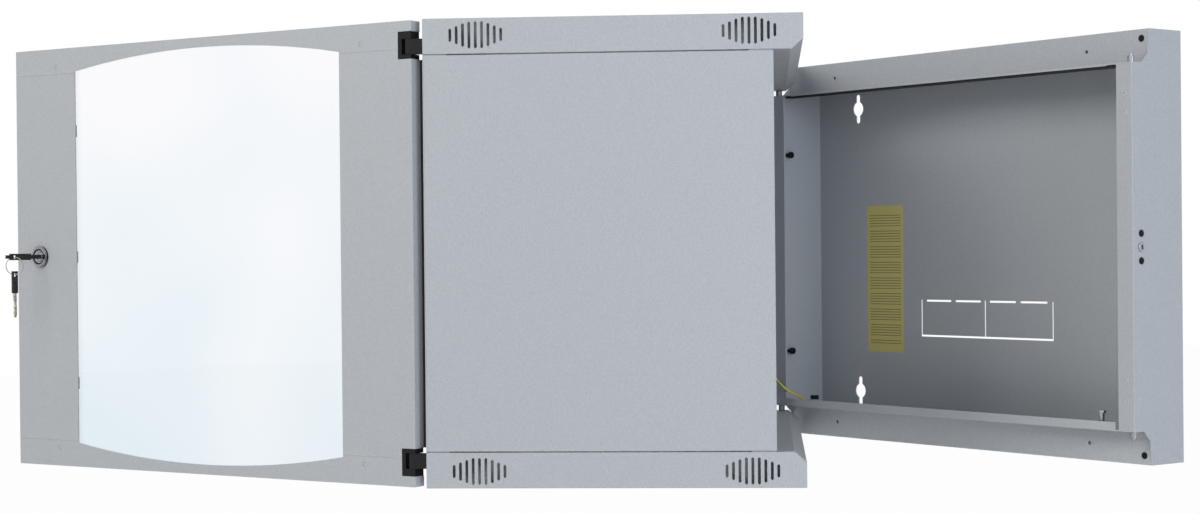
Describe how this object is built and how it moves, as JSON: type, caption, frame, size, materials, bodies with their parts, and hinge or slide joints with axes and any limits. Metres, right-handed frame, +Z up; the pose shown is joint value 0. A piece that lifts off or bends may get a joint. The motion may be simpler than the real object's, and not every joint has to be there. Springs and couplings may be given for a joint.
{
  "type": "wall mount network cabinet",
  "caption": "Light grey 9U wall mount network cabinet, double section: the body swings out from the wall section and the glass front door stands open, with lock, keys and 19-inch rails.",
  "frame": {"origin": "centre of the four keyholes on the wall plane", "axes": "+Z up, +Y into the wall, +X to the right of somebody who faces the closed cabinet"},
  "size_m": [0.9678, 1.0207, 0.5],
  "materials": {
    "grey_paint": "satin fine-texture powder coat, light grey",
    "black_metal": "semi-gloss black coating",
    "zinc_steel": "zinc plated",
    "rail_zinc": "zinc plated sheet",
    "lock_chrome": "polished chrome",
    "key_nickel": "nickel plated",
    "black_plastic": "matte black",
    "tinted_glass": "clear, faint grey tint",
    "black_rubber": "matte",
    "black_foam": "cellular foam",
    "yellow_label": "plain yellow film",
    "wire_green_yellow": "green and yellow striped sleeve"
  },
  "bodies": {
    "wall_section": {"wall_back": "grey_paint", "wall_side_left": "grey_paint", "wall_side_right": "grey_paint", "seal_strip_top": "black_foam", "swing_pins": "zinc_steel", "flange_screws": "black_metal", "label_plate": "yellow_label", "knob_plates": "zinc_steel", "knob_screws": "black_metal", "shelf_post": "zinc_steel", "earth_stud": "zinc_steel", "earth_nut": "black_metal", "earth_wire": "wire_green_yellow", "latch_screws": "black_metal", "latch_bracket": "zinc_steel"},
    "side_latch": {"latch_plug": "zinc_steel", "latch_hook": "zinc_steel"},
    "cabinet_body": {"top_cover": "grey_paint", "bottom_cover": "grey_paint", "side_panel_left": "grey_paint", "side_panel_right": "grey_paint", "front_post_left": "grey_paint", "front_post_right": "grey_paint", "rear_post_left": "grey_paint", "rear_post_right": "grey_paint", "depth_rails_left": "grey_paint", "depth_rails_right": "grey_paint", "mounting_rail_front_left": "rail_zinc", "mounting_rail_front_right": "rail_zinc", "mounting_rail_rear_left": "rail_zinc", "mounting_rail_rear_right": "rail_zinc", "rail_bolts": "zinc_steel", "latch_keeper": "zinc_steel", "body_earth_stud": "zinc_steel", "door_knuckle_top": "black_metal", "door_knuckle_bottom": "black_metal"},
    "door": {"door_strip_hinge_side": "grey_paint", "door_strip_lock_side": "grey_paint", "door_rail_top": "grey_paint", "door_rail_bottom": "grey_paint", "glass_gasket": "black_rubber", "door_glass": "tinted_glass", "glass_clips": "zinc_steel", "clip_screws": "zinc_steel", "door_rivets": "zinc_steel", "door_hinge_pins": "zinc_steel", "hinge_block_top": "black_metal", "hinge_block_bottom": "black_metal", "lock_body": "lock_chrome", "lock_nut": "zinc_steel"},
    "lock_core": {"lock_plug": "lock_chrome", "lock_cam": "zinc_steel", "cam_screw": "zinc_steel"},
    "key": {"key_blade": "key_nickel", "key_head": "black_plastic"},
    "ring": {"key_ring": "zinc_steel"},
    "spare_key": {"spare_key_head": "black_plastic", "spare_key_blade": "key_nickel"}
  },
  "joints": [
    {"name": "body_swing", "type": "hinge", "parent": "wall_section", "child": "cabinet_body", "pos_m": [-0.294, -0.0788, 0], "axis": [0, 0, -1], "range_deg": [-41, 49], "deforming": ["earth_wire"]},
    {"name": "door_swing", "type": "hinge", "parent": "cabinet_body", "child": "door", "pos_m": [-0.11011, -0.76428, 0], "axis": [0, 0, 1], "range_deg": [-62.4, 57.6]},
    {"name": "lock_turn", "type": "hinge", "parent": "door", "child": "lock_core", "pos_m": [-0.63046, -0.95263, 0.001], "axis": [0.3649, -0.9311, 0], "range_deg": [0, 90]},
    {"name": "key_slide", "type": "slide", "parent": "lock_core", "child": "key", "axis": [0.3649, -0.9311, 0], "range_m": [0, 0.028]},
    {"name": "ring_swing", "type": "hinge", "parent": "key", "child": "ring", "pos_m": [-0.60875, -1.00803, 0.0006], "axis": [0.5962, 0.8028, 0], "range_deg": [-15, 15]},
    {"name": "spare_key_swing", "type": "hinge", "parent": "ring", "child": "spare_key", "pos_m": [-0.60875, -1.00803, -0.02], "axis": [0.5962, 0.8028, 0], "range_deg": [-15, 15]},
    {"name": "latch_turn", "type": "hinge", "parent": "wall_section", "child": "side_latch", "pos_m": [0.27425, -0.071, 0], "axis": [1, 0, 0], "range_deg": [0, 90]}
  ]
}
